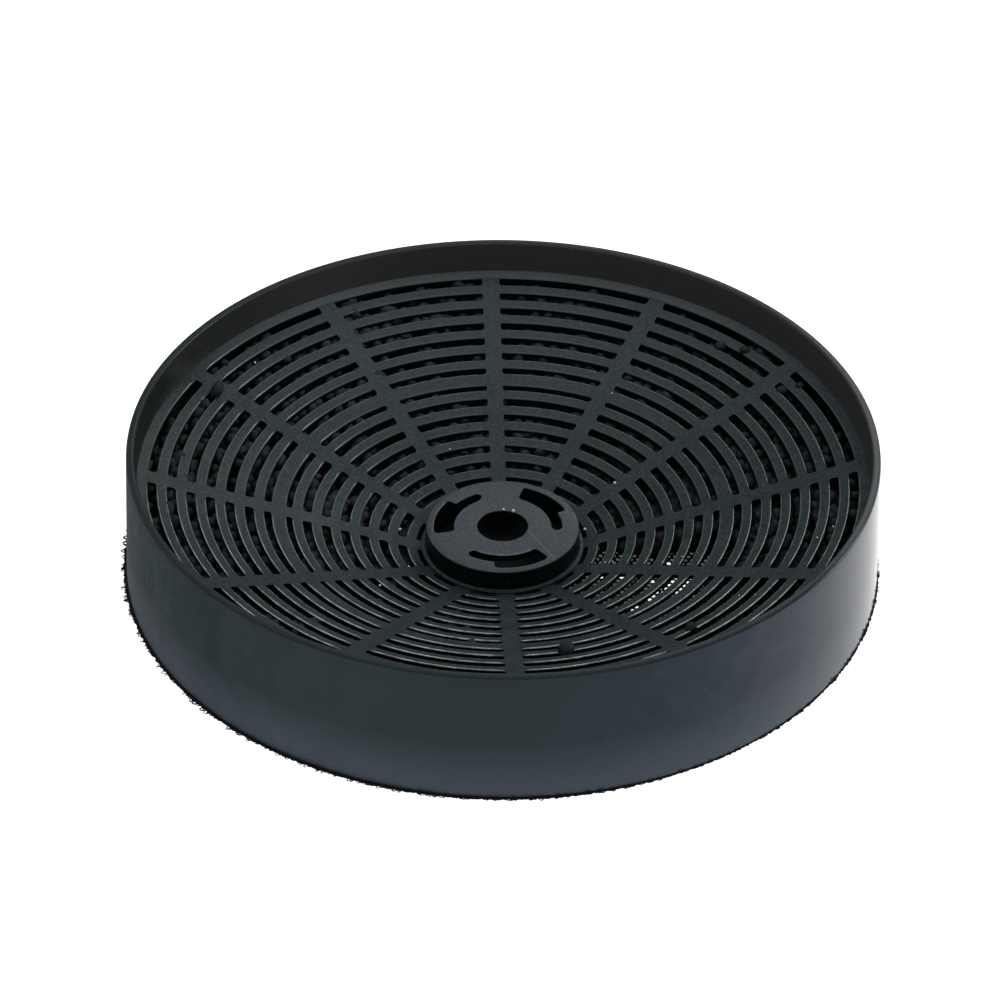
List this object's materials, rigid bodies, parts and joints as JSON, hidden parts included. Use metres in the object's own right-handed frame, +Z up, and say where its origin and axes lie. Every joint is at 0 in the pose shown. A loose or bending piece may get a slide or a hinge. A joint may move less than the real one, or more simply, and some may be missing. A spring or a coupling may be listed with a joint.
{
  "type": "cooker hood carbon filter",
  "caption": "Round plastic cartridge of activated carbon granules for a recirculating cooker hood, with a dished slotted grille and a twist-lock hub that hangs on the motor housing",
  "frame": {"origin": "middle of the underside of the net, on the axis of the casing", "axes": "+Z up through the hub towards the open dished side, +X to the right and +Y away from the viewer of the picture"},
  "size_m": [0.1918, 0.1918, 0.035],
  "materials": {
    "casing_plastic": "satin",
    "carbon": "matt",
    "net": "matt"
  },
  "bodies": {
    "root": {"casing": "casing_plastic", "carbon_bed": "carbon", "base_net": "net"}
  },
  "joints": []
}
